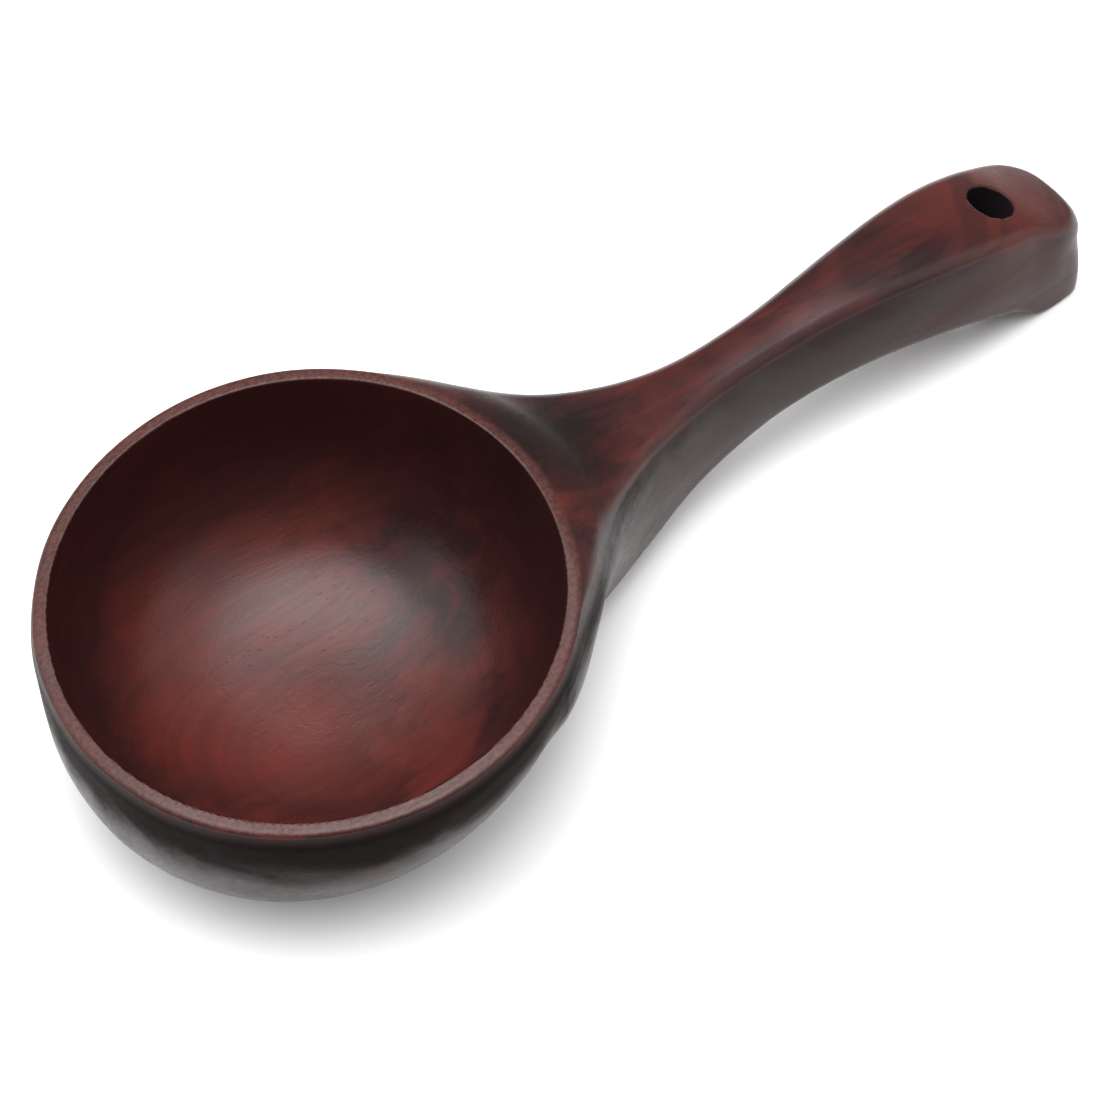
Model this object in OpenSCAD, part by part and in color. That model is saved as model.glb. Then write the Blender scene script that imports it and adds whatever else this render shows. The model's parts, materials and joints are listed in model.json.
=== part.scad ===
// Wooden ladle: a round cup whose handle leaves its side, arches, and comes
// down to the table again at a broad tip with a hanging hole.
// Millimetres. The origin is on the table, straight below the middle of the
// cup's mouth. +X runs along the handle to its tip, and +Z is up.

/* [Cup] */
// Inside radius of the mouth at the rim
mouth_r = 42.5; // [40:0.5:46]
// Width of the flat rim, which is the wall's thickness at the mouth
rim_w = 2.5; // [2:0.1:3.2]
// Height of the rim above the table
rim_h = 44; // [42:0.5:46]
// How far the wall's widest ring stands out beyond the rim
belly = 0.9; // [0.2:0.1:1.2]
// Depth of the widest ring below the rim
belly_drop = 4.5; // [3:0.5:9]
// Thickness of the wood under the middle of the cup
floor_t = 5; // [4:0.25:7]
// Squareness of the outside profile: 2 is an ellipse, more is boxier
outer_power = 2.5; // [2.3:0.05:2.9]
// Squareness of the inside profile
inner_power = 2.8; // [2.1:0.05:2.8]
// How far the cup's underside is carried away from the handle
under_shift = 10.5; // [8:0.5:12]
// Share of that which is missing below the handle, where the wall is left thicker
less_undercut = 0.6; // [0.6:0.05:0.9]
// Lean of the hollow away from the handle, in degrees
lean = 4; // [2:0.5:5]

/* [Handle] */
// Distance from the mouth's middle to the end of the tip
reach = 179.5; // [177:0.5:184]
// Half of the handle's width at its neck
neck_w = 7.2; // [6.5:0.1:8.5]
// Half of the handle's width at the tip
tip_w = 12.7; // [11:0.1:14]
// Length of the tip over which its outline rounds off
tip_round = 14; // [10:1:20]
// Height of the handle's top where it arches highest
arch_h = 35.2; // [33:0.1:38]
// Thickness of the handle at the top of the arch
arch_t = 18.9; // [16:0.1:21]
// Rounding of the two long top edges
edge_r = 4; // [3:0.25:5]
// Rounding of the two long bottom edges
under_r = 3; // [2:0.25:4]
// Rounding of the bottom edge at the tip
under_tip_r = 1; // [0.5:0.25:2]
// Rounding of the top edge round the end of the tip
end_r = 2; // [1:0.25:3]
// Height of the top's crown above its rounded edges
crown = 1.1; // [0.4:0.1:1.8]

/* [Hanging hole] */
// Radius of the hanging hole
hole_r = 4.75; // [4:0.25:5.5]
// Distance from the mouth's middle to the hole's mouth
hole_x = 158; // [154:1:162]
// Lean of the hole's axis towards the tip, in degrees
hole_lean = 8; // [0:1:12]

/* [Hidden] */
$fn = 96;
cup_colour = [0.34, 0.17, 0.15];
handle_colour = [0.42, 0.22, 0.19];

// Rings of the cup's outside. The last lies under the table, which cuts the foot
rim_r = mouth_r + rim_w;
belly_r = rim_r + belly;
under_cut = 1;
shell_h = rim_h + under_cut;
n_round = 64;
n_levels = 16;
// The underside is carried over along a smooth step of this length
shift_span = 59;
// Points down the hollow's profile, and how far the cutter stands above the rim
n_profile = 16;
over = 6;

// The root spreads from the neck until it meets the cup, and the blank runs on inside
root_x = 34;
root_w = 31;
neck_x = 92;
root_power = 2.15;
blank_x = 24;
// The root's underside narrows from here towards the cup, to this share of its top
taper_x = 70;
root_share = 0.72;
// The tip swells out of the neck between these two places
swell_x = 95;
swell_end_x = 155;
tip_x = reach - tip_round;
tip_power = 4.5;
// Half width of the last section
end_w = 1.2;
// Length over which the bottom edge sharpens, from the hanging hole on
sharpen = 10;

// Side view of the handle from root to tip, as [distance along, height]
top_line = [[blank_x, 43], [46, 40.5], [62, 36.8], [80, 34.2], [100, 34.2],
            [120, arch_h], [140, 34.1], [158, 30], [170, 24.8], [reach, 20.5]];
under_line = [[blank_x, 21], [40, 12], [54, 8.5], [68, 8], [82, 10.8], [100, 15],
              [120, arch_h - arch_t], [140, 13.4], [156, 7.2], [167, 1], [173, 0], [reach, 0]];

// Sections along the handle, which crowd towards the tip, and points round one of them
n_sections = 56;
n_corner = 5;
n_crown = 4;

function clamp01(t) = max(0, min(1, t));
function smooth(t) = let (u = clamp01(t)) u * u * (3 - 2 * u);

// Smooth curve through a list of points: slope at a point, the piece that holds x, height at x
function slope(p, i) = let (a = max(i - 1, 0), b = min(i + 1, len(p) - 1))
    (p[b][1] - p[a][1]) / (p[b][0] - p[a][0]);
function piece(p, x, i = 0) = i >= len(p) - 2 || x < p[i + 1][0] ? i : piece(p, x, i + 1);
function cubic(a, b, sa, sb, t) = let (u = 1 - t)
    u * u * ((1 + 2 * t) * a + t * sa) + t * t * ((1 + 2 * u) * b - u * sb);
function along(p, x) = let (i = piece(p, x), d = p[i + 1][0] - p[i][0])
    cubic(p[i][1], p[i + 1][1], slope(p, i) * d, slope(p, i + 1) * d, (x - p[i][0]) / d);

// Closed skin over a list of rings with the same number of points
function skin(n_rings, n) = concat(
    [[for (i = [0:n - 1]) i]],
    [for (j = [0:n_rings - 2]) for (i = [0:n - 1]) let (k = (i + 1) % n)
        [j * n + i, (j + 1) * n + i, (j + 1) * n + k, j * n + k]],
    [[for (i = [n - 1:-1:0]) (n_rings - 1) * n + i]]);

// Outside of the cup: a ring's radius at a depth, and how far it is carried over
function side_r(d) = d < belly_drop
    ? rim_r + belly * (1 - (1 - d / belly_drop) ^ 2)
    : belly_r * (1 - ((d - belly_drop) / (shell_h - belly_drop)) ^ outer_power) ^ (1 / outer_power);
function carried(d, x) = under_shift * smooth(d / shift_span) * (1 - less_undercut * smooth(x / belly_r));
function ring(d, z) = [for (j = [n_round - 1:-1:0]) let (a = 360 * j / n_round, x = side_r(d) * cos(a))
    [x - carried(d, x), side_r(d) * sin(a), z]];

module cup_blank() {
    depths = [for (i = [0:n_levels]) 0.998 * shell_h * sin(90 * i / n_levels) ^ 1.2];
    rings = concat([ring(0, rim_h + over)], [for (d = depths) ring(d, rim_h - d)]);
    polyhedron(points = [for (r = rings) for (p = r) p], faces = skin(len(rings), n_round));
}

// The cup as a solid block, cut level at the rim and at the foot
module cup_body() {
    intersection() {
        cup_blank();
        translate([-2 * rim_r, -2 * rim_r, 0])
            cube([4 * rim_r, 4 * rim_r, rim_h]);
    }
}

module hollow() {
    depth = rim_h - floor_t;
    translate([0, 0, rim_h])
        rotate([0, lean, 0])
            rotate_extrude()
                polygon(concat(
                    [[0, over], [mouth_r, over]],
                    [for (i = [0:n_profile]) let (a = 90 * i / n_profile)
                        [mouth_r * cos(a) ^ (2 / inner_power), -depth * sin(a) ^ (2 / inner_power)]]));
}

// Half width of the handle, seen from above
function spread(x) = (root_w - neck_w) * (1 - clamp01((x - root_x) / (neck_x - root_x))) ^ root_power;
function swell(x) = (tip_w - neck_w) * smooth((x - swell_x) / (swell_end_x - swell_x));
function rounded_off(x) = (1 - clamp01((x - tip_x) / tip_round) ^ tip_power) ^ (1 / tip_power);
function half_w(x) = max(end_w, (neck_w + spread(x) + swell(x)) * rounded_off(x));
function under_share(x) = root_share + (1 - root_share) * smooth((x - root_x) / (taper_x - root_x));

// Heights of the handle's top and underside. The end turns over its top edge
function turn_over(x) = let (t = clamp01((x - reach + end_r) / end_r)) end_r * (1 - sqrt(1 - t * t));
function top_z(x) = along(top_line, x) - turn_over(x);
function under_z(x) = max(0, along(under_line, x));
function bottom_edge_r(x) = under_r - (under_r - under_tip_r) * smooth((x - hole_x) / sharpen);

// One section: a box with four rounded corners and a crowned top
function arc(y, z, r, from) = [for (i = [0:n_corner]) let (a = from + 90 * i / n_corner)
    [y + r * cos(a), z + r * sin(a)]];
function section(x) = let (
        w = half_w(x),
        top = top_z(x),
        under = under_z(x),
        rt = min(edge_r, 0.9 * w),
        rb = min(bottom_edge_r(x), 0.9 * w),
        rise = crown * min(1, w / neck_w),
        flat = w - rt,
        low = w * under_share(x) - rb)
    concat(
        arc(flat, top - rise - rt, rt, 0),
        [for (i = [1:n_crown - 1]) let (y = flat * (1 - 2 * i / n_crown)) [y, top - rise * (y / flat) ^ 2]],
        arc(-flat, top - rise - rt, rt, 90),
        arc(-low, under + rb, rb, 180),
        arc(low, under + rb, rb, 270));

// The swept handle, before the cup's place is cut out of its root
module handle_blank() {
    places = [for (i = [0:n_sections]) blank_x + (reach - blank_x) * sin(90 * i / n_sections)];
    points = [for (x = places) for (p = section(x)) [x, p[0], p[1]]];
    polyhedron(points = points, faces = skin(len(places), len(section(reach))));
}

module hanging_hole() {
    translate([hole_x, 0, top_z(hole_x)])
        rotate([0, hole_lean, 0])
            cylinder(r = hole_r, h = 3 * rim_h, center = true);
}

module bowl() {
    color(cup_colour)
        difference() {
            cup_body();
            hollow();
        }
}

module handle() {
    color(handle_colour)
        difference() {
            handle_blank();
            cup_body();
            hanging_hole();
        }
}

bowl();
handle();
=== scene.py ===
"""A one-piece carved wooden ladle: a round cup whose wall flows into an arched handle.

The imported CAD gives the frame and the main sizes. The wood here is one closed skin, made
from a signed distance field, so that cup and handle run into each other as carved wood
does. Field work is in millimetres, and the mesh is in metres like everything else.
"Near" means the side with negative y, which faces the camera.
"""
import json
import math

import bpy
import numpy as np
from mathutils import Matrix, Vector


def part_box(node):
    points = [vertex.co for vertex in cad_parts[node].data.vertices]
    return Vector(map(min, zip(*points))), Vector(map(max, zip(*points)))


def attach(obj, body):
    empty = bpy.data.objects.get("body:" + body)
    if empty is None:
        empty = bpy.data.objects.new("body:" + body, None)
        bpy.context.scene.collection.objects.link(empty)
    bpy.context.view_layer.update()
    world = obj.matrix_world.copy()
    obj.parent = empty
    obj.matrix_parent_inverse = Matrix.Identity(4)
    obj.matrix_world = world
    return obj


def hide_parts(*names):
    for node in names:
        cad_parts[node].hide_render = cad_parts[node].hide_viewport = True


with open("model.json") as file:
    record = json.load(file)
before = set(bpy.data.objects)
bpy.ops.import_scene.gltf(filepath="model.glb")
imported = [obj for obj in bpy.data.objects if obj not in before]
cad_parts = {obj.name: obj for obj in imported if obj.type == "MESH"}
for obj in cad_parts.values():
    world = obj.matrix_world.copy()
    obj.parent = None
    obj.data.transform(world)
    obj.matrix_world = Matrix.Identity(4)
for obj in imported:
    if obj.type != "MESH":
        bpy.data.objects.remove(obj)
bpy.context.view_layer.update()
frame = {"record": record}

MM = 0.001

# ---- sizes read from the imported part, in millimetres ----
bowl_low, bowl_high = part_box("bowl")
_, handle_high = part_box("handle")
hole = next(m for m in frame["record"]["mounts"] if m["name"] == "hanging_hole")
rim_h = bowl_high.z / MM
belly_r = bowl_high.y / MM
reach = handle_high.x / MM
hole_at = np.array(hole["pos_m"]) / MM
hole_axis = np.array(hole["axis"])
hole_r = hole["dims"]["r_mm"]

# ---- the cup ----
BELLY = 0.9                 # how far the wall's widest ring stands out beyond the rim
BELLY_DROP = 4.5            # depth of the widest ring below the rim
RIM_W = 2.5                 # width of the flat rim
UNDER_CUT = 1.0             # the outside's profile reaches this far under the table
FLOOR_T = 5.0               # wood left under the middle of the hollow
OUTER_POWER = 2.5           # squareness of the outside profile: 2 is an ellipse
INNER_POWER = 2.8           # squareness of the hollow's profile
LEAN = math.radians(4)      # lean of the hollow away from the handle
UNDER_SHIFT = 10.5          # how far the underside is carried away from the handle
SHIFT_SPAN = 59.0           # depth over which it is carried over
LESS_UNDERCUT = 0.6         # share of that which is missing below the handle
rim_r = belly_r - BELLY
MOUTH_R = rim_r - RIM_W
SHELL_H = rim_h + UNDER_CUT
HOLLOW_H = rim_h - FLOOR_T

# ---- the handle: its start inside the cup, its root, its neck and its tip ----
BLANK_X, ROOT_X, NECK_X = 24.0, 34.0, 92.0
ROOT_W, NECK_W, TIP_W = 31.0, 7.2, 12.7             # half widths
ROOT_POWER = 2.15                                   # how suddenly the root spreads
ROOT_SHARE = 0.76                                   # width of the root's underside by its top's
FULLER = 0.9                                        # extra wood on the root's two sides
CROWN, CROWN_W = 0.8, 8.0                           # rise of the top's middle above its edges
ROOT_CROWN = 1.0                                    # and as much more at the root
EDGE_R, UNDER_R = 4.0, 3.0                          # rounding of the long top and bottom edges
SHARPER = 2.2                                       # the bottom edge loses this much at the tip
BEVEL_IN, BEVEL_DOWN = 0.8, 1.6                     # the top edges' bevel
NEAR_IN, NEAR_DOWN = 1.9, 4.4                       # and as much more on the near side
BEVEL_LOSS = 0.8                                    # share of it that is lost at the tip
SOFT_SIDE, SOFT_TOP, NEAR_CRISPER = 3.5, 2.8, 1.0   # roundings of the bevel's two edges
TIP_ROUND, TIP_RISE = 14.0, (0, 18)                 # the tip's rounded end: length, and height
LOW_POWER, HIGH_POWER = 6.0, 3.4                    # its squareness at the table and at the top
FAR_ROUNDER, NEAR_SQUARER = 0.7, 1.0                # and how its two sides differ from that
TOP_SHORTER = 0.7                                   # its top ends this much before its foot
FADE_X, FADE = 32.0, 0.03                           # the handle dies away inside the cup's wall
TOP_LINE = [(BLANK_X, 43.8), (46, 41.6), (62, 36.9), (80, 34.2), (100, 34.2),
            (120, 35.2), (140, 34.1), (158, 30), (170, 24.8), (reach, 20.5)]
UNDER_LINE = [(BLANK_X, 21), (40, 12), (54, 8.5), (68, 8), (82, 10.8), (100, 15),
              (120, 16.3), (140, 13.4), (156, 7.2), (167, 1), (173, 0), (reach, 0)]

# ---- stretches over which something grows or fades, as a start and a length ----
SWELL = (95, 60)                                    # the tip swells out of the neck
TAPER = (ROOT_X, 36)                                # the underside widens to the top's width
NEAR_FULL, NEAR_FULL_END = (27, 9), (42, 24)        # the root's extra wood along its near side
FAR_FULL, FAR_FULL_END = (28, 10), (42, 16)         # and along its far side
ROOT_CROWN_END = (44, 22)
BEVEL_END = (160, 12)
SHARPEN = (158, 10)                                 # the bottom edge, from the hanging hole on
FILLET_UP, BESIDE_ROOT = (30, 12), (30, 12)         # up the wall, and along the handle
NEAR_RIM = (24, 14)                                 # up the wall
RIM_INTO_ROOT = (32, 12)
ROOT_SIDES, TIP_FAR, TIP_NEAR, BEVEL_NEAR = (0, 8), (0, 8), (0, 6), (0, 4)  # out from the middle

# ---- roundings of the whole ----
FILLET, RIM_FILLET = 14.0, 10.0         # reach of the fillet below, and at the rim's height
FILLET_LESS = 0.55                      # share of it missing beside the root, near the rim
RIM_EDGE, ROOT_RIM_EDGE = 0.7, 3.0      # the rim's outer edge, and as much more at the root
HOLLOW_EDGE, FOOT_EDGE, HOLE_EDGE = 0.4, 0.7, 0.4

# ---- the mesh's grid ----
STEP, FINE_STEP, RIM_STEP = 0.815, 0.45, 0.4
MARGIN = 1.83               # steps that the grid stands out before its first surface
SIDE_MARGIN = 0.33
EASE = 3.0                  # distance over which the grid lines draw together
TABLE_STEP, PAST_TIP = 0.1, 6.0


def smooth(t):
    t = np.clip(t, 0.0, 1.0)
    return t * t * (3 - 2 * t)


def ramp(x, start, span):
    """0 up to start and 1 from start + span on, with a smooth step between."""
    return smooth((x - start) / span)


def line_table(points, xs):
    """Heights at xs of a cubic through the points, with central-difference slopes."""
    px, pz = (np.array(v, float) for v in zip(*points))
    before = np.maximum(np.arange(len(px)) - 1, 0)
    after = np.minimum(np.arange(len(px)) + 1, len(px) - 1)
    slope = (pz[after] - pz[before]) / (px[after] - px[before])
    i = np.clip(np.searchsorted(px, xs, side="right") - 1, 0, len(px) - 2)
    d = px[i + 1] - px[i]
    t = (xs - px[i]) / d
    u = 1 - t
    return (u * u * ((1 + 2 * t) * pz[i] + t * slope[i] * d)
            + t * t * ((1 + 2 * u) * pz[i + 1] - u * slope[i + 1] * d))


XS = np.arange(BLANK_X, reach + PAST_TIP, TABLE_STEP)
TOP = line_table(TOP_LINE, XS)
UNDER = np.maximum(0.0, line_table(UNDER_LINE, XS))
SPREAD = (1 - np.clip((XS - ROOT_X) / (NECK_X - ROOT_X), -1, 1)) ** ROOT_POWER
WIDTH = NECK_W + (ROOT_W - NECK_W) * SPREAD + (TIP_W - NECK_W) * ramp(XS, *SWELL)
TOP_SLOPE, UNDER_SLOPE, WIDTH_SLOPE = (np.gradient(v, XS) for v in (TOP, UNDER, WIDTH))


def at(table, x):
    return np.interp(x, XS, table)


def stretch(slopes, x):
    """How much longer a sloping line is than its run, which turns a gap into a distance."""
    return np.sqrt(1 + at(slopes, x) ** 2)


def join(a, b, k):
    """Union of two solids with a soft fillet of reach k in the corner between them."""
    h = np.maximum(k - np.abs(a - b), 0) / k
    return np.minimum(a, b) - h * h * k / 4


def meet(a, b, r):
    """Intersection of two solids whose edge is rounded to radius r."""
    u, v = np.maximum(a + r, 0), np.maximum(b + r, 0)
    return np.minimum(np.maximum(a, b) + r, 0) + np.sqrt(u * u + v * v) - r


def bowed(across, along, radius, power):
    """Distance from an outline that is an ellipse at power 2, and boxier above."""
    return radius * (((across / radius) ** power + along ** power) ** (1 / power) - 1)


def cup_outside(x, y, z):
    d = rim_h - z
    shift = UNDER_SHIFT * smooth(d / SHIFT_SPAN)
    shift = shift * (1 - LESS_UNDERCUT * smooth((x + shift) / belly_r))
    rho = np.sqrt((x + shift) ** 2 + y ** 2)
    deep = np.maximum(d - BELLY_DROP, 0) / (SHELL_H - BELLY_DROP)
    tuck = BELLY * np.clip(1 - d / BELLY_DROP, 0, 1) ** 2
    return bowed(rho, deep, belly_r, OUTER_POWER) + tuck


def hollow(x, y, z):
    c, s = math.cos(LEAN), math.sin(LEAN)
    across = x * c - (z - rim_h) * s
    depth = np.maximum(-(x * s + (z - rim_h) * c), 0) / HOLLOW_H
    return bowed(np.sqrt(across ** 2 + y ** 2), depth, MOUTH_R, INNER_POWER)


def root_fullness(x, y):
    """What the carver left on the root's near side, and on its far side close to the rim."""
    near = FULLER * ramp(x, *NEAR_FULL) * (1 - ramp(x, *NEAR_FULL_END)) * ramp(-y, *ROOT_SIDES)
    far = FULLER * ramp(x, *FAR_FULL) * (1 - ramp(x, *FAR_FULL_END)) * ramp(y, *ROOT_SIDES)
    return near + far


def handle_top(x, y, w):
    """Height of the crowned top, which runs on straight beyond its edges."""
    flat = w - EDGE_R
    out = np.abs(y) / flat
    crown = CROWN * np.minimum(flat / CROWN_W, 1) + ROOT_CROWN * (1 - ramp(x, *ROOT_CROWN_END))
    return at(TOP, x) - crown * np.where(out < 1, out ** 2, 2 * out - 1)


def handle_side(x, y, z, w):
    """Distance from the handle's two sides and its rounded end."""
    high = ramp(z, *TIP_RISE)
    power = (LOW_POWER + (HIGH_POWER - LOW_POWER) * high
             - FAR_ROUNDER * high * ramp(y, *TIP_FAR) + NEAR_SQUARER * (1 - high) * ramp(-y, *TIP_NEAR))
    past = np.maximum(x - (reach - TIP_ROUND), 0) / (TIP_ROUND - TOP_SHORTER * high)
    return bowed(np.abs(y), past, w, power) / stretch(WIDTH_SLOPE, x)


def top_edges(side, lid, x, y):
    """Sides and top with a bevel between them, which is wider near and fades at the tip."""
    fade = 1 - BEVEL_LOSS * ramp(x, *BEVEL_END)
    near = ramp(-y, *BEVEL_NEAR) * fade
    across = BEVEL_IN * fade + NEAR_IN * near
    down = BEVEL_DOWN + NEAR_DOWN * near
    bevel = (side * down + lid * across + across * down) / np.hypot(across, down)
    return meet(meet(side, bevel, SOFT_SIDE), lid, SOFT_TOP - NEAR_CRISPER * near)


def handle(x, y, z):
    w = at(WIDTH, x) + root_fullness(x, y)
    top, under = handle_top(x, y, w), at(UNDER, x)
    share = ROOT_SHARE + (1 - ROOT_SHARE) * ramp(x, *TAPER)
    up = np.clip((z - under - UNDER_R) / (top - EDGE_R - under - UNDER_R), 0, 1)
    side = handle_side(x, y, z, w * (share + (1 - share) * up))
    lid = (z - top) / stretch(TOP_SLOPE, x)
    base = (under - z) / stretch(UNDER_SLOPE, x)
    body = top_edges(side, lid, x, y)
    body = meet(body, base, UNDER_R - SHARPER * ramp(x, *SHARPEN))
    return body + FADE * np.maximum(FADE_X - x, 0) ** 2


def carving(x, y, z):
    """The faint unevenness that hand tools leave, in millimetres."""
    return (0.06 * np.sin(0.12 * x + 0.11 * y + 0.4) * np.sin(0.16 * z - 0.07 * y + 1.1)
            + 0.04 * np.sin(0.31 * y + 0.17 * z + 0.08 * x + 2.0)
            + 0.02 * np.sin(0.27 * x - 0.23 * z + 0.9) * np.sin(0.29 * y + 0.5))


def bore_distance(x, y, z):
    rel = [x - hole_at[0], y - hole_at[1], z - hole_at[2]]
    up = sum(r * a for r, a in zip(rel, hole_axis))
    return np.sqrt(np.maximum(sum(r * r for r in rel) - up * up, 0)) - hole_r


def ladle(x, y, z):
    fillet = FILLET - (FILLET - RIM_FILLET) * ramp(z, *FILLET_UP)
    fillet = fillet * (1 - FILLET_LESS * ramp(z, *NEAR_RIM) * (1 - ramp(x, *BESIDE_ROOT)))
    body = join(cup_outside(x, y, z), handle(x, y, z), fillet) + carving(x, y, z)
    body = meet(body, z - rim_h, RIM_EDGE + ROOT_RIM_EDGE * ramp(x, *RIM_INTO_ROOT))
    body = meet(body, -hollow(x, y, z), HOLLOW_EDGE)
    body = meet(body, -z, FOOT_EDGE)
    return meet(body, -bore_distance(x, y, z), HOLE_EDGE)


# ---- the field's surface as a closed mesh of quads ----
def axis_points(low, high, fine_low, fine_high, fine):
    """Grid lines a STEP apart, and closer together between two places."""
    p, points = low - MARGIN * STEP, []
    while p < high + 2 * STEP:
        points.append(p)
        depth_in = min(p - fine_low, fine_high - p)
        p += fine + (STEP - fine) * min(1, max(0, -depth_in / EASE))
    return np.array(points)


def surface_net(field, gx, gy, gz):
    """One vertex in each grid cell that the surface crosses, and a quad round each crossed edge."""
    value = np.empty((len(gx), len(gy), len(gz)))
    slab = 16
    for i in range(0, len(gx), slab):
        value[i:i + slab] = field(*np.meshgrid(gx[i:i + slab], gy, gz, indexing="ij"))
    solid = value < 0
    corners = [(a, b, c) for a in (0, 1) for b in (0, 1) for c in (0, 1)]
    n = [s - 1 for s in value.shape]
    count = sum(solid[a:a + n[0], b:b + n[1], c:c + n[2]].astype(np.int8) for a, b, c in corners)
    cell = np.argwhere((count > 0) & (count < len(corners)))
    index = np.full(n, -1, np.int64)
    index[tuple(cell.T)] = np.arange(len(cell))

    # a vertex is the mean of the places where its cell's edges cross the surface
    grid = [gx, gy, gz]
    total, hits = np.zeros((len(cell), 3)), np.zeros(len(cell))
    for c0 in corners:
        for k in range(3):
            if c0[k]:
                continue
            c1 = tuple(1 if m == k else c0[m] for m in range(3))
            i0, i1 = cell + c0, cell + c1
            v0, v1 = value[tuple(i0.T)], value[tuple(i1.T)]
            cross = (v0 < 0) != (v1 < 0)
            t = np.where(cross, v0 / np.where(cross, v0 - v1, 1), 0)
            for m in range(3):
                p0, p1 = grid[m][i0[:, m]], grid[m][i1[:, m]]
                total[:, m] += np.where(cross, p0 + t * (p1 - p0), 0)
            hits += cross

    quads = []
    for k in range(3):
        u, v = (k + 1) % 3, (k + 2) % 3
        low = [slice(None)] * 3
        high = [slice(None)] * 3
        low[k], high[k] = slice(0, -1), slice(1, None)
        edge = np.argwhere(solid[tuple(low)] != solid[tuple(high)])
        edge = edge[(edge[:, u] > 0) & (edge[:, v] > 0)]
        starts_in = solid[tuple(edge.T)]
        ring = []
        for du, dv in ((-1, -1), (0, -1), (0, 0), (-1, 0)):
            c = edge.copy()
            c[:, u] += du
            c[:, v] += dv
            ring.append(index[tuple(c.T)])
        q = np.stack(ring, 1)
        quads.append(np.where(starts_in[:, None], q, q[:, ::-1]))
    return total / hits[:, None], np.concatenate(quads)


def gradient(field, p, h=0.02):
    g = np.empty_like(p)
    for m in range(3):
        a, b = p.copy(), p.copy()
        a[:, m] -= h
        b[:, m] += h
        g[:, m] = (field(*b.T) - field(*a.T)) / (2 * h)
    return g


def unit(g):
    return g / (np.linalg.norm(g, axis=1)[:, None] + 1e-9)


def settle(field, verts, quads, rounds):
    """Evens the vertices out along the surface, and puts each one exactly on it."""
    ends = np.concatenate([quads[:, [i, (i + 1) % 4]] for i in range(4)])
    start, end = ends.T
    neighbours = np.bincount(start, minlength=len(verts))[:, None]
    for _ in range(rounds):
        sums = [np.bincount(start, verts[end, m], len(verts)) for m in range(3)]
        g = unit(gradient(field, verts))
        move = (np.stack(sums, 1) / neighbours - verts) * 0.5
        move -= (move * g).sum(1)[:, None] * g
        verts = verts + move
        for _ in range(2):
            g = gradient(field, verts)
            f = field(*verts.T)
            step = (f / ((g * g).sum(1) + 1e-9))[:, None] * g
            verts = verts - np.clip(step, -STEP / 2, STEP / 2)
    return verts


# the grid is finer round the hanging hole, and at the rim
verts, quads = surface_net(
    ladle,
    axis_points(bowl_low.x / MM, reach, hole_at[0] - 6, hole_at[0] + 10, FINE_STEP),
    axis_points(-belly_r - SIDE_MARGIN, belly_r, -5, 5, FINE_STEP),
    axis_points(0.0, rim_h, rim_h - 1.2, rim_h + 1, RIM_STEP),
)
verts = settle(ladle, verts, quads, rounds=6)
print("ladle mesh:", len(verts), "vertices,", len(quads), "quads")

mesh = bpy.data.meshes.new("ladle_body")
mesh.from_pydata((verts * MM).tolist(), [], quads.tolist())
mesh.shade_smooth()
mesh.update()
body = bpy.data.objects.new("ladle_body", mesh)
bpy.context.scene.collection.objects.link(body)
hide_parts("bowl", "handle")
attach(body, "root")
mesh.normals_split_custom_set_from_vertices(unit(gradient(ladle, verts)).tolist())


def mark(name, gap, start, span):
    """A number at each vertex for the material: 1 up to a gap of start, 0 from start + span on."""
    layer = mesh.attributes.new(name, "FLOAT", "POINT")
    value = np.clip(1 - (gap - start) / span, 0, 1)
    layer.data.foreach_set("value", value.astype(np.float32))


mark("in_cup", hollow(*verts.T), 0.3, 0.5)
mark("on_rim", np.hypot(verts[:, 0], verts[:, 1]) - rim_r, -0.1, 0.8)
mark("in_hole", bore_distance(*verts.T), 0.05, 0.35)


# ---- materials ----
class Nodes:
    """Short calls for building a node tree."""

    def __init__(self, owner):
        owner.use_nodes = True
        self.tree = owner.node_tree
        self.tree.nodes.clear()

    def add(self, kind, inputs=(), **settings):
        node = self.tree.nodes.new(kind)
        for key, value in settings.items():
            setattr(node, key, value)
        for key, value in dict(inputs).items():
            if isinstance(value, bpy.types.NodeSocket):
                self.tree.links.new(value, node.inputs[key])
            else:
                node.inputs[key].default_value = value
        return node

    def math(self, op, a, b=0.0):
        return self.add("ShaderNodeMath", {0: a, 1: b}, operation=op).outputs[0]

    def plus(self, a, *others):
        for b in others:
            a = self.math("ADD", a, b)
        return a

    def times(self, a, *others):
        for b in others:
            a = self.math("MULTIPLY", a, b)
        return a

    def minus(self, a, b):
        return self.math("SUBTRACT", a, b)

    def span(self, value, a, b, lo=0.0, hi=1.0):
        """value mapped so that a gives lo and b gives hi, held at both ends, with soft ends."""
        return self.add("ShaderNodeMapRange", {"Value": value, "From Min": a, "From Max": b,
                                               "To Min": lo, "To Max": hi},
                        interpolation_type="SMOOTHSTEP").outputs[0]

    def coat(self, under, paint, *shares):
        """The colour under, with paint over it to the product of the shares."""
        return self.add("ShaderNodeMix", {0: self.times(*shares), 6: under, 7: paint},
                        data_type="RGBA").outputs[2]

    def vector(self, op, a, b=(0, 0, 0), output=0):
        return self.add("ShaderNodeVectorMath", {0: a, 1: b}, operation=op).outputs[output]

    def mark(self, name):
        return self.add("ShaderNodeAttribute", attribute_name=name).outputs["Fac"]

    def noise(self, where, scale, detail=2.0, rough=0.5, stretched=(1, 1, 1), twist=0.0):
        where = self.add("ShaderNodeMapping", {"Vector": where, "Scale": stretched}).outputs[0]
        return self.add("ShaderNodeTexNoise", {"Vector": where, "Scale": scale, "Detail": detail,
                                               "Roughness": rough, "Distortion": twist}).outputs[0]


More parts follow.
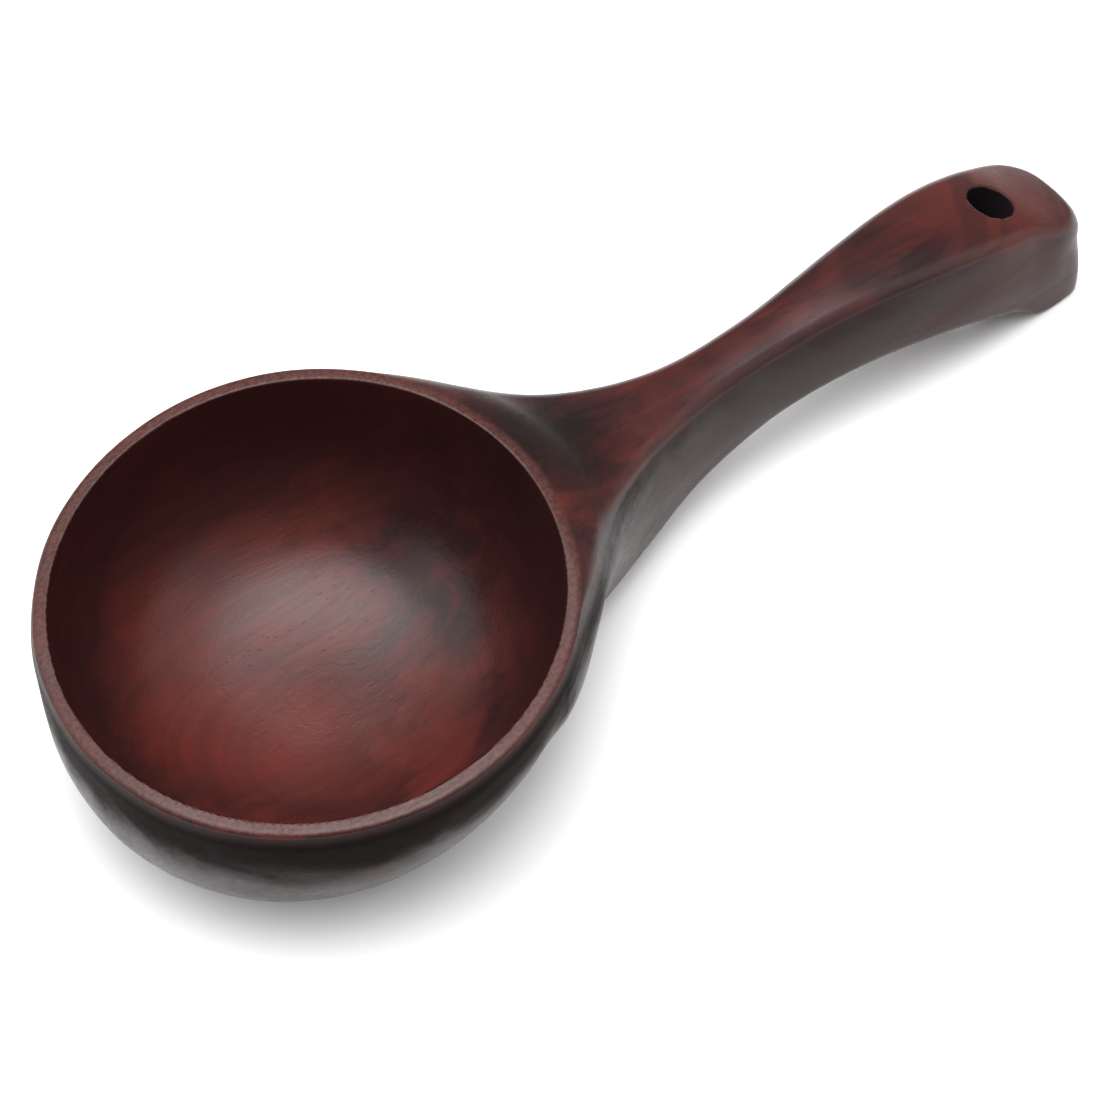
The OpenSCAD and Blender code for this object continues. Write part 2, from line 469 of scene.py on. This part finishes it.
# ---- stained wood ----
BLACK = (0.0040, 0.0028, 0.0027, 1)
DARK = (0.0175, 0.0062, 0.0063, 1)
MID = (0.0420, 0.0110, 0.0094, 1)
RED = (0.1120, 0.0165, 0.0118, 1)
RIM_PALE, RIM_SPECK = (0.084, 0.027, 0.021, 1), (0.040, 0.014, 0.012, 1)
END_SHEEN = (0.190, 0.090, 0.080, 1)
HOLE_SHADE_AND_STAIN = (0.010, 0.007, 0.008, 1)

wood = bpy.data.materials.new("stained_wood")
n = Nodes(wood)
mm = n.vector("MULTIPLY", n.add("ShaderNodeTexCoord").outputs["Object"], (1000, 1000, 1000))
x_mm, y_mm, z_mm = n.add("ShaderNodeSeparateXYZ", {0: mm}).outputs
normal = n.add("ShaderNodeNewGeometry").outputs["Normal"]
face_x, _, face_z = n.add("ShaderNodeSeparateXYZ", {0: normal}).outputs
inside, in_hole, on_rim = n.mark("in_cup"), n.mark("in_hole"), n.mark("on_rim")

# growth rings about a pith below and beside the ladle, bent by slow noise
bend = n.noise(mm, 0.020, 2, 0.5, (0.35, 1, 1))
ring_y = n.plus(y_mm, n.times(bend, 30.0))
ring_z = n.plus(z_mm, 48.0)
rings = n.math("SQRT", n.plus(n.times(ring_y, ring_y), n.times(ring_z, ring_z)))
ring_at = n.add("ShaderNodeCombineXYZ", {0: n.times(x_mm, 0.012), 1: rings}).outputs[0]
grain = n.noise(ring_at, 0.36, 4, 0.62)
streak = n.noise(mm, 0.15, 5, 0.6, (0.10, 1, 1), 0.5)
fibre = n.noise(mm, 1.2, 4, 0.65, (0.06, 1, 1))
patch = n.noise(mm, 0.030, 3, 0.55, (0.7, 1, 1), 0.6)
blotch = n.noise(mm, 0.10, 4, 0.6, (0.55, 1, 1), 0.5)


def spot(centre, radius):
    """1 at a place in millimetres, falling softly to 0 at a ragged radius."""
    far = n.vector("DISTANCE", mm, centre, "Value")
    far = n.plus(far, n.times(n.minus(blotch, 0.5), 0.7 * radius))
    return n.span(far, radius, 0.15 * radius)


# the stain took unevenly: redder in streaks and blotches, whose streaks are weaker in the hollow
colour = n.coat(DARK, MID, n.span(patch, 0.36, 0.64))
colour = n.coat(colour, RED, n.span(streak, 0.46, 0.70), n.span(inside, 0, 1, 0.40, 0.28))
colour = n.coat(colour, RED, n.span(blotch, 0.45, 0.75), 0.28)

# the cup's floor, a place low on its far-left wall, and the top of the tip are made redder
ragged = n.plus(n.times(blotch, 0.6), n.times(patch, 0.5))
low = n.times(n.span(z_mm, 19, 6), inside, n.span(ragged, 0.42, 0.66))
redder_places = n.plus(spot((-17, 6, 7), 26), n.times(spot((-2, -6, 5), 24), 0.5))
for red_place, strength in ((spot((-15, 23, 12), 22), 0.7), (spot((160, 4, 30), 28), 0.55), (low, 0.8)):
    redder_places = n.math("MAXIMUM", redder_places, n.times(red_place, strength))
colour = n.coat(colour, RED, n.math("MINIMUM", n.times(redder_places, 0.80), 0.85))

colour = n.coat(colour, DARK, n.span(grain, 0.45, 0.60), n.span(inside, 0, 1, 0.50, 0.22))
colour = n.coat(colour, DARK, n.span(fibre, 0.5, 0.75), 0.20)
# painted shade: a near-black patch on the middle of the handle's root, beside the rim, where the root
# dips in
colour = n.coat(colour, BLACK, spot((52, 0, 40), 20), 0.75)
# painted shade, and stain: the hollow's upper walls are darkened, partly for the shade they stand in
# and partly for stain that pooled there
walls_shade_and_stain = n.times(n.span(z_mm, 12, 26), inside)
colour = n.coat(colour, DARK, walls_shade_and_stain, 0.60)
# painted shade: the hollow's wall on the near, handle side is darkened further
colour = n.coat(colour, DARK, spot((38, -22, 26), 46), inside, 0.6)

# the outside's steep faces are made nearly black, most of all just below the rim
outside = n.times(n.span(face_z, 0.55, 0.10), n.minus(1.0, inside))
below_rim = n.times(n.span(n.plus(z_mm, n.times(blotch, 12.0)), 28, 44), outside)
colour = n.coat(colour, BLACK, outside, n.span(x_mm, 60, 110, 0.55, 0.34))
colour = n.coat(colour, BLACK, below_rim, 0.85)

# the flat rim shows the paler end grain, with dark specks
top_face = n.times(n.span(z_mm, 43.3, 43.9), n.span(face_z, 0.60, 0.95), on_rim)
speck = n.noise(mm, 1.5, 3, 0.65, (0.7, 1, 1))
rim_colour = n.coat(RIM_PALE, RIM_SPECK, n.span(speck, 0.42, 0.60))
colour = n.coat(colour, rim_colour, top_face, 0.75)

# painted sheen: the very end of the tip, where it faces along +x, is painted paler for the light that
# shines off it
painted_end_sheen = n.times(n.span(x_mm, 173, 178), n.span(face_x, 0.35, 0.85))
colour = n.coat(colour, END_SHEEN, painted_end_sheen, 0.55)

# open pores: short dark dashes along the grain
pore_at = n.add("ShaderNodeMapping", {"Vector": mm, "Scale": (0.22, 1, 1)}).outputs[0]
pore = n.add("ShaderNodeTexVoronoi", {"Vector": pore_at, "Scale": 1.1}).outputs["Distance"]
pores = n.times(n.span(pore, 0.16, 0.08), n.span(blotch, 0.45, 0.6))
colour = n.coat(colour, BLACK, pores, 0.5)
# painted shade, and stain: the hanging hole's bore is painted near black, for the shade inside it and
# the stain that pooled in it
colour = n.coat(colour, HOLE_SHADE_AND_STAIN, in_hole)

# sanding marks run round the inside of the cup, and fibres run along the handle
round_at = n.plus(n.vector("LENGTH", mm, output="Value"), n.times(blotch, 14.0))
sanding_at = n.add("ShaderNodeCombineXYZ", {0: round_at, 1: z_mm}).outputs[0]
sanding = n.noise(sanding_at, 0.9, 3, 0.6)
ridge = n.noise(mm, 0.30, 3, 0.5, (0.8, 0.5, 1), 0.3)
height = n.plus(n.times(fibre, 0.04), n.times(ridge, n.span(inside, 0, 1, 0.015, 0.05)),
                n.times(sanding, inside, 0.06))
height = n.minus(height, n.times(pores, 0.04))
bump = n.add("ShaderNodeBump", {"Height": height, "Strength": 0.55, "Distance": MM})

# the lacquer: rougher on the rim, below it and in the hole, and duller on the blackened outside
gloss = n.plus(n.span(fibre, 0.3, 0.7, 0.26, 0.34), n.span(blotch, 0.35, 0.65, -0.02, 0.04),
               n.times(top_face, 0.10), n.times(below_rim, 0.10), n.times(in_hole, 0.5))
shine = n.minus(n.span(patch, 0.35, 0.65, 0.34, 0.26), n.times(outside, 0.16))
shine = n.times(shine, n.span(below_rim, 0, 1, 1.0, 0.06))

shader = n.add("ShaderNodeBsdfPrincipled", {
    "Base Color": colour, "Roughness": gloss, "Normal": bump.outputs[0],
    "IOR": 1.5, "Specular IOR Level": shine})
n.add("ShaderNodeOutputMaterial", {"Surface": shader.outputs[0]})
mesh.materials.append(wood)

# ---- floor, light and camera ----
bpy.ops.mesh.primitive_plane_add(size=6, location=(0.06, 0, 0))
floor = bpy.context.object
floor.name = "floor"
paper = bpy.data.materials.new("pale_floor")
flat_paint = Nodes(paper)
floor_shader = flat_paint.add("ShaderNodeBsdfPrincipled", {
    "Base Color": (0.93, 0.93, 0.93, 1), "Roughness": 0.7, "Specular IOR Level": 0.2})
flat_paint.add("ShaderNodeOutputMaterial", {"Surface": floor_shader.outputs[0]})
floor.data.materials.append(paper)

world = bpy.data.worlds.new("studio")
bpy.context.scene.world = world
air = Nodes(world)
ray = air.add("ShaderNodeTexCoord").outputs["Generated"]


def glow(azimuth, height, start, strength):
    """A soft bright patch of the surroundings, centred on a direction."""
    turn, lift = math.radians(azimuth), math.radians(height)
    middle = (math.cos(turn) * math.cos(lift), math.sin(turn) * math.cos(lift), math.sin(lift))
    return air.span(air.vector("DOT_PRODUCT", ray, middle, "Value"), start, 0.97, 0.0, strength)


brightness = air.plus(glow(-38, 34, 0.76, 1.1), glow(142, 34, 0.72, 1.7), 0.26)
sky = air.add("ShaderNodeBackground", {0: (1, 1, 1, 1), 1: brightness})
air.add("ShaderNodeOutputWorld", {"Surface": sky.outputs[0]})


def softbox(name, above, target, size, power):
    """A round area light straight above a place, facing down."""
    lamp = bpy.data.lights.new(name, "AREA")
    lamp.shape, lamp.size, lamp.energy = "DISK", size, power
    o = bpy.data.objects.new(name, lamp)
    o.location = target + Vector((0, 0, above))
    o.rotation_euler = (target - o.location).to_track_quat("-Z", "Y").to_euler()
    bpy.context.scene.collection.objects.link(o)


over_cup = Vector((0.03, 0.01, 0))
softbox("overhead", 0.58, over_cup, 0.36, 1.3)
softbox("overhead_wide", 0.60, over_cup, 0.66, 4.4)

camera = bpy.data.objects.new("camera", bpy.data.cameras.new("camera"))
camera.data.lens, camera.data.sensor_width = 70.36, 36
camera.location = (-0.0807, -0.1706, 0.3458)
camera.rotation_euler = (math.radians(32.4), 0, math.radians(-37.5))
camera.data.clip_start, camera.data.clip_end = 0.01, 20
bpy.context.scene.collection.objects.link(camera)
bpy.context.scene.camera = camera
bpy.context.scene.view_settings.view_transform = "Standard"

bpy.context.view_layer.update()
